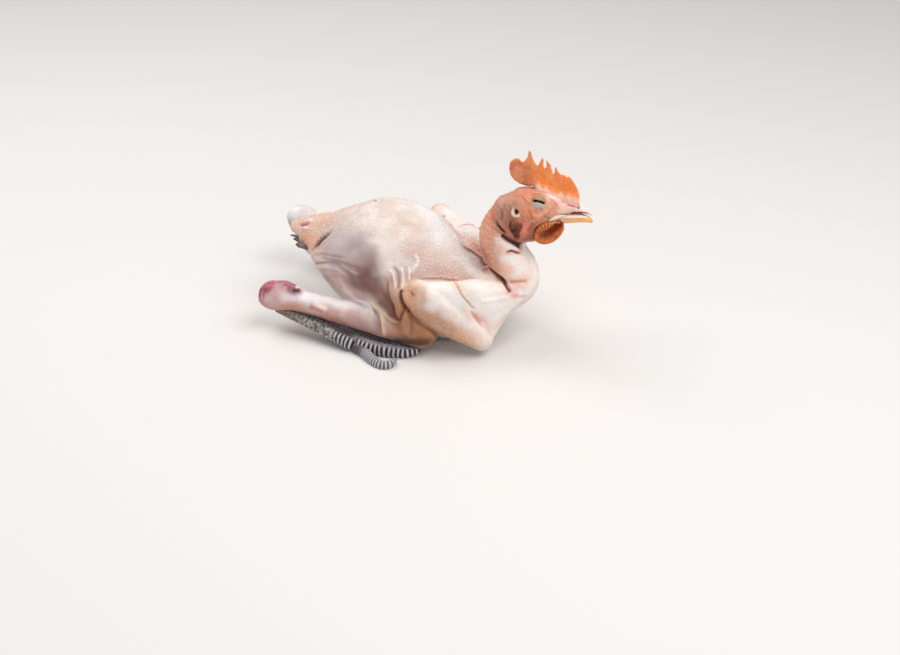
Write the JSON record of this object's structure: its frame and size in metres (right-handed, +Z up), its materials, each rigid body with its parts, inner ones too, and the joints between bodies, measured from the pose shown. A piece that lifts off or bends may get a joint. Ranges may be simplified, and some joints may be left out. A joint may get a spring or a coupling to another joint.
{
  "type": "whole raw chicken",
  "caption": "Whole raw plucked rooster with head and feet on, lying on its breast with the legs folded under it and the head up.",
  "frame": {"origin": "under the middle of the bird's box, on the surface it lies on", "axes": "+X towards the head, +Y towards the bird's left side, +Z up"},
  "size_m": [0.2946, 0.1766, 0.17],
  "materials": {
    "raw_skin": "moist raw skin with a soft sheen"
  },
  "bodies": {
    "root": {"whole_chicken": "raw_skin"}
  },
  "joints": []
}
